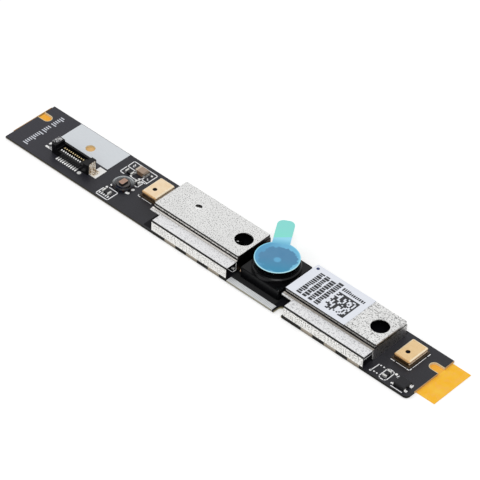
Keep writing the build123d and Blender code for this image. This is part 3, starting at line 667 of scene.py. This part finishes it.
def blue_film(centre, film_radius):
    """Blue film, greyer over the dark barrel and clear blue round it, with the mint end of its tab."""
    paint = Paint("blue_film", Roughness=0.3, Specular_IOR_Level=0.25)
    patch_radius, lens_reflection_radius, ring_width, backing_start = 3.2, 0.6, 0.16, 5.0
    cloud = paint.noise(0.8, detail=2)
    from_centre = paint.offset(centre)
    tab_turn = math.radians(32)
    to_tab = paint.dot(from_centre, (-math.sin(tab_turn), math.cos(tab_turn), 0))

    # the dark barrel shows through as a ragged patch, a little off the film's centre and flattened
    from_patch = paint.offset((centre.x + 0.33, centre.y - 0.43))
    depth = paint.dot(from_patch, (0.65, -0.76, 0))
    width = paint.dot(from_patch, (0.76, 0.65, 0))
    flattening = 1.0583
    round_patch = paint.hypotenuse(paint.math("MULTIPLY", depth, flattening), width)
    waves = paint.span(paint.noise(0.8, detail=1), -0.9, 0.9)
    teeth = paint.span(paint.noise(1.7, detail=1), -0.5, 0.5)
    ragged = paint.math("ADD", round_patch, paint.math("ADD", waves, teeth))
    over_barrel = paint.mix(cloud, "#4f88b0", "#5b91b6")
    over_barrel = paint.mix(paint.above(to_tab, -1.8, 2.2), "#3f93b8", over_barrel)
    over_air = paint.mix(cloud, "#66b6de", "#86cdea")
    over_air = paint.mix(paint.above(width, 0.0, 3.0), "#5aa2cc", over_air)
    colour = paint.mix(paint.above(ragged, patch_radius, 0.2), over_barrel, over_air)
    # painted reflection of the lens seen through the film, a paler spot a little off the centre
    lens_reflection = paint.below(paint.distance((centre.x + 0.4, centre.y - 0.45)), lens_reflection_radius, 0.2)
    colour = paint.tint(colour, "#68b4dc", lens_reflection, 0.85)

    # painted highlight on the film's rim
    ring = paint.mix(paint.above(to_tab, -0.5, 2.0), "#bdf2fd", "#8fdcf6")
    colour = paint.tint(colour, ring, paint.above(paint.distance(centre), film_radius - ring_width, 0.06))
    tab = paint.mix(paint.above(to_tab, film_radius + 0.3, 0.8), "#76c2e0", "#9be0f8")
    colour = paint.tint(colour, tab, paint.above(to_tab, film_radius - 0.4, 0.3))
    mint = paint.mix(paint.above(to_tab, 6.0, 2.0), "#8ae9d8", "#8fe4dc")
    to_backing = paint.dot(from_centre, (-0.72, 0.695, 0))
    colour = paint.tint(colour, mint, paint.above(to_backing, backing_start, 0.06))
    # painted highlight on the film's cut edge
    colour = paint.tint(colour, "#c6f5fd", paint.below(paint.upward, 0.5, 0.1))
    paint.bump(paint.noise(0.6, detail=1), 0.02)
    return paint.done(colour)


# print, solder and vias
def silk_print():
    """White lines and dots on the board."""
    shape = Shape()
    chip_outlines = (
        [(22.8, 9.45), (20.73, 9.45), (20.68, 11.2), (26.3, 11.15), (26.3, 8.15), (25.3, 8.15)],
        [(21.6, 7.53), (20.7, 7.53), (20.7, 9.2)],
        [(22.9, 8.9), (22.9, 9.3)],
        [(23.3, 7.77), (24.75, 7.77), (24.75, 8.6)],
        [(24.95, 9.5), (24.95, 8.5), (26.1, 8.5)],
        [(24.95, 6.5), (25.85, 6.5), (25.85, 7.95), (25.2, 7.95)],
        [(22.6, 3.07), (24.6, 3.07), (24.6, 0.43), (21.83, 0.43), (21.83, 2.3)])
    for points in chip_outlines:
        shape.path(points)
    microphone_corners = (
        (0.12, [(27.4, 5.35), (27.4, 5.05), (28.0, 5.05)]),
        (0.09, [(28.4, 5.05), (30.6, 5.05)]),
        (SILK_WIDTH, [(84.45, 5.07), (85.1, 5.07)]),
        (0.09, [(85.5, 5.07), (87.6, 5.07)]),
        (SILK_WIDTH, [(87.8, 5.07), (88.27, 5.07), (88.27, 5.6)]),
        (0.11, [(88.27, 5.95), (88.27, 9.3)]),
        (SILK_WIDTH, [(88.27, 9.75), (88.27, 10.35)]))
    for width, points in microphone_corners:
        shape.path(points, width)
    # bar and dots right of the right shield
    shape.line((83.78, 0.8), (83.9, 2.7))
    shape.disc(83.72, 0.74, 0.2)
    for x, y in ((84.34, 0.93), (84.93, 0.92), (84.3, 2.75), (84.92, 2.77)):
        shape.disc(x, y, 0.15)
    # outline of the edge chip, with cut corners
    left, right, front, back, corner = 85.55, 87.05, 0.45, 3.1, 0.35
    shape.path([
        (left, front + corner), (left, back - corner), (left + corner, back), (right - corner, back),
        (right, back - corner), (right, front + corner), (right - corner, front), (left + corner, front),
        (left, front + corner)])
    beside_transistor = ([(88.4, 0.33), (90.6, 0.33)], [(87.85, 2.55), (87.95, 2.9)])
    at_shield_ends = ([(51.0, 2.2), (52.2, 2.2), (52.2, 3.5)], [(81.5, 1.4), (81.5, 4.2)])
    for points in (*beside_transistor, *at_shield_ends):
        shape.path(points)
    return shape


def small_marks():
    """A row of short bars before the front chip, and small corner marks round the other chips."""
    shape = Shape()
    bars, first_x, pitch = 5, 22.05, 0.48
    for index in range(bars):
        shape.block(first_x + pitch * index, 0.85, 0.26, 0.45)
    for x, y in ((21.3, 9.95), (21.3, 10.35), (25.45, 9.1), (21.2, 8.05), (25.1, 7.5)):
        shape.block(x, y, 0.42, 0.2)
        shape.block(x, y, 0.14, 0.42)
    return shape


def tick_row():
    """A plain scale of short and long ticks in three groups across the left end of the board."""
    shape = Shape()
    scale_x, tick_width, step = 3.1, 0.22, 0.48
    long_reach, short_reach, long_every = 1.15, 0.8, 4
    for start, count in ((1.15, 9), (5.75, 4), (8.05, 6)):
        for index in range(count):
            reach = short_reach if index % long_every else long_reach
            shape.block(scale_x, start + step * index, reach, tick_width)
    return shape


def label_print():
    """Four columns of bars, a square of random cells with two full sides, and a row of bars behind it."""
    label_low, label_high = deck_box("printed_label")
    rng = random.Random(7)
    shape = Shape(label_high.z, label_high.z + PRINT_THICK)
    shape.disc(*label_dot(), LABEL_DOT_RADIUS)
    columns, column_pitch, bar_gap = 4, 1.25, 0.13
    for column in range(columns):
        x, y = label_low.x + 1.75 + column_pitch * column, label_low.y + 0.5
        while y < label_high.y - 1.3:
            length = rng.choice((0.3, 0.4, 0.5))
            reach = rng.choice((1.0, 1.0, 0.8))
            shape.block(x, y, reach, length)
            y += length + bar_gap
    side, cells = 4.5, 15
    cell = side / cells
    left, front = label_low.x + 6.95, label_low.y + 0.95
    for column in range(cells):
        for line in range(cells):
            on_rim = column == cells - 1 or line == cells - 1
            if on_rim or rng.random() < 0.5:
                shape.block(left + cell * column, front + cell * line, cell, cell)
    x, long_until, row_gap = left, left + 1.3, 0.14
    while x < left + side:
        length = rng.choice((0.24, 0.32))
        shape.block(x, front + side + 0.5, length, 0.8 if x < long_until else 0.6)
        x += length + row_gap
    return shape


def solder_joints():
    """Solder at the connector's feet, and domes by the transistor, chips, inductor and shields."""
    foot_high, foot_width, foot_length = 0.16, 0.24, 0.95
    feet, pitch, row_middle, row_front = 10, 0.5, 13.0, 1.8
    shape = Shape(high=foot_high)
    for index in range(feet):
        middle = row_middle + (index - (feet - 1) / 2) * pitch
        shape.block(middle - foot_width / 2, row_front, foot_width, foot_length)
    for x, y, radius in ((87.39, 2.92, 0.28), (88.07, 0.87, 0.18), (91.03, 0.95, 0.15), (90.98, 2.78, 0.16)):
        shape.dome(x, y, radius, radius, 0.14)
    for x, y in ((22.96, 7.9), (24.6, 8.3), (24.2, 7.2), (21.9, 8.8), (25.6, 10.4), (82.0, 0.6)):
        shape.dome(x, y, 0.26, 0.2, 0.12)
    for x, y in ((51.6, 2.95), (25.5, 4.2), (25.5, 5.3)):
        shape.dome(x, y, 0.36, 0.3, 0.16)
    for x, y in ((22.3, 3.85), (22.1, 2.9)):
        shape.dome(x, y, 0.24, 0.26, 0.1)
    return shape


def via_rings():
    shape = Shape(high=0.1)
    shape.disc(53.07, 3.5, 0.32)
    return shape


# dressing of the model
def cover(material, *nodes):
    for node in nodes:
        mesh = frame["nodes"][node].data
        mesh.materials.clear()
        mesh.materials.append(material)


def dress_board():
    cover(board_mask(), "circuit_board")
    cover(plated("dull_tin", "#706a5f", "#938b7e", 0.4), "edge_plating")
    cover(yellow_film(), "mounting_tape")
    cover(white_print(), "white_panel")
    cover(ribbed_strip(), "ground_strip")
    cover(contact_plate(), "connector_contacts")
    cover(streaked_plate("left_fitting_plate", "#2b2b2e", "#8c8c8e", (0.3, 2.5, 1.0)), "connector_left_fitting")
    cover(streaked_plate("fitting_plate", "#8c7658", "#f4ead8", (1.0, 1.6, 0.5)), "connector_right_fitting")
    cover(pad_solder(), "solder_pads")
    cover(coil_cup(deck_centre("inductor_flange")), "inductor_flange")
    cover(coil_wire(), "inductor_winding")
    cover(coil_core(), "inductor_core")


def dress_chips():
    package = moulded("chip_package", "#17171a", "#222226", 0.45, gloss=0.25, shaded_sides=0.9)
    cover(package, "chip_bodies", "transistor_body", "image_processor", "memory_chip", "power_regulator")
    cover(fired_ceramic(), "capacitor_body", "bypass_capacitors")
    cover(chip_ends(), "chip_terminals")
    cover(crystal_lid(), "crystal_can")
    cover(moulded("silicon", "#26262c", "#3d3d46", 0.2), "microphone_dies", "image_sensor")


def dress_microphones():
    laminate = moulded("base_laminate", "#2b2114", "#45351f", 0.5)
    cover(laminate, "left_microphone_base", "right_microphone_base")
    cover(gold_can("left_gold_can", "#e6c79c", "#f2e0c4"), "left_microphone_can")
    cover(gold_can("right_gold_can", "#dcb67f", "#ebcfa2"), "right_microphone_can")


def dress_shields():
    dimple = (deck_box("left_shield_cover")[0].x + 6.1, 7.5)
    left = tin_sheet("left_tin_sheet", speck_per_mm=5.0, speck_edge=0.59, speck_dark=0.7, skirt_shade=0.2,
                     lands_start=38.6, foot_height=0.3, lip_light_and_shade="#fbf7f2", end_shade=0.98, dent=dimple)
    right = tin_sheet("right_tin_sheet", speck_per_mm=4.5, speck_edge=0.58, speck_dark=0.75, skirt_shade=0.55,
                      lands_start=69.4, foot_height=0.35, lip_light_and_shade="#bdb6ae", end_shade=0.25)
    cover(left, "left_shield_frame", "left_shield_cover")
    cover(right, "right_shield_frame", "right_shield_cover")
    cover(label_paper(), "printed_label")


def dress_lens():
    black = moulded("black_moulding", "#030304", "#0b0b0e", 0.28, gloss=0.2)
    cover(black, "connector_housing", "lens_holder", "lens_barrel", "lens_spacer")
    cover(clear_glass("front_glass", "#cfe3f2"), "front_lens")
    cover(clear_glass("rear_glass", "#cfe3f2"), "rear_lens")
    cover(clear_glass("filter_glass", "#b9dde3"), "infrared_filter")
    barrel_centre = deck_centre("lens_barrel")
    film_radius = deck_box("protective_film")[1].x - barrel_centre.x
    cover(blue_film(barrel_centre, film_radius), "protective_film")
    cover(ink("mint_backing", "#86e0d4", 0.35), "pull_tab_backing")


def add_print_and_solder():
    white_ink = ink("silk_ink", "#f2f3f6")
    solder = plated("bright_solder", "#e6e6e3", "#ffffff", 0.3, metal=0.2)
    cover(solder, "transistor_leads")
    silk_print().add_to_scene("silk_lines", white_ink)
    tick_row().add_to_scene("tick_marks", ink("tick_ink", "#c9ccd4"))
    small_marks().add_to_scene("small_marks", white_ink)
    label_print().add_to_scene("label_marks", label_ink(), "printed_label")
    solder_joints().add_to_scene("contact_solder", solder, "solder_pads", smooth=True)
    gold = plated("gold_plate", "#dcb894", "#f2dcc6", 0.4, metal=0.0)
    via_rings().add_to_scene("via_rings", gold, "solder_pads")


# stage
def flat_sheet(name, width, depth, z, material):
    mesh = bpy.data.meshes.new(name)
    x, y = width / 2, depth / 2
    mesh.from_pydata([(-x, -y, z), (x, -y, z), (x, y, z), (-x, y, z)], [], [(0, 1, 2, 3)])
    mesh.materials.append(material)
    return link_object(name, mesh)


def floor_material():
    """Pale floor that is as light far off as the background."""
    material = bpy.data.materials.new("floor")
    material.use_nodes = True
    nodes = Nodes(material.node_tree)
    nodes.tree.nodes.clear()
    rays = nodes.node("ShaderNodeLightPath").outputs
    reach = nodes.length(nodes.node("ShaderNodeTexCoord").outputs["Object"])
    near_and_far = {"Value": reach, "From Min": 0.15, "From Max": 1.5, "To Min": 0.35, "To Max": 0.6}
    lift = nodes.node("ShaderNodeMapRange", near_and_far).outputs["Result"]
    seen = nodes.any_of(rays["Is Camera Ray"], rays["Is Glossy Ray"])
    glow = nodes.node("ShaderNodeEmission", {"Strength": nodes.math("MULTIPLY", seen, lift)})
    diffuse = nodes.node("ShaderNodeBsdfDiffuse", {"Color": (0.8, 0.8, 0.8, 1.0)})
    added = nodes.node("ShaderNodeAddShader", {0: diffuse.outputs[0], 1: glow.outputs[0]})
    nodes.node("ShaderNodeOutputMaterial", {"Surface": added.outputs[0]})
    return material


def set_floor():
    side, drop = 16.0, 0.00005
    floor = flat_sheet("floor", side, side, -drop, floor_material())


def set_world(lit_strength, seen_strength):
    """White surroundings, at one strength as a light and another where they are seen or mirrored."""
    world = bpy.data.worlds.new("studio")
    bpy.context.scene.world = world
    world.use_nodes = True
    nodes = Nodes(world.node_tree)
    rays = nodes.node("ShaderNodeLightPath").outputs
    seen = nodes.any_of(rays["Is Camera Ray"], rays["Is Glossy Ray"], rays["Is Transmission Ray"])
    background = nodes.tree.nodes["Background"]
    background.inputs["Color"].default_value = (1.0, 1.0, 1.0, 1.0)
    nodes.plug(background.inputs["Strength"], nodes.span(seen, lit_strength, seen_strength))


def area_light(name, place, size, power):
    data = bpy.data.lights.new(name, "AREA")
    data.size = size
    data.energy = power
    made = link_object(name, data)
    made.location = place
    made.rotation_euler = (-Vector(place)).to_track_quat("-Z", "Y").to_euler()


def dark_card(place, width, height):
    """A black card that only reflections see, so that metal bends show a dark line."""
    material = bpy.data.materials.new("dark_card")
    material.use_nodes = True
    shader = material.node_tree.nodes["Principled BSDF"]
    shader.inputs["Base Color"].default_value = (0.01, 0.01, 0.01, 1.0)
    shader.inputs["Roughness"].default_value = 0.9
    card = flat_sheet("dark_card", width, height, 0.0, material)
    card.location = place
    card.rotation_euler = (-Vector(place)).to_track_quat("Z", "Y").to_euler()
    for ray in ("camera", "diffuse", "shadow", "transmission", "volume_scatter"):
        setattr(card, f"visible_{ray}", False)


def set_camera():
    data = bpy.data.cameras.new("camera")
    data.lens = CAMERA_LENS
    data.clip_start = 0.01
    data.clip_end = 20
    camera = link_object("camera", data)
    camera.location = deck_origin + Vector(CAMERA_PLACE)
    camera.rotation_euler = Euler([math.radians(turn) for turn in CAMERA_TURN])
    bpy.context.scene.camera = camera


clear_start_up()
dress_board()
dress_chips()
dress_microphones()
dress_shields()
dress_lens()
add_print_and_solder()
set_floor()
set_world(lit_strength=0.6, seen_strength=1.0)
area_light("key", (0.42, -0.46, 0.78), 0.5, 3.2)
area_light("left_fill", (-0.6, -0.35, 0.6), 0.5, 1.0)
dark_card((-0.42, -0.57, 0.4), 0.5, 0.45)
set_camera()
bpy.context.scene.view_settings.view_transform = "Standard"
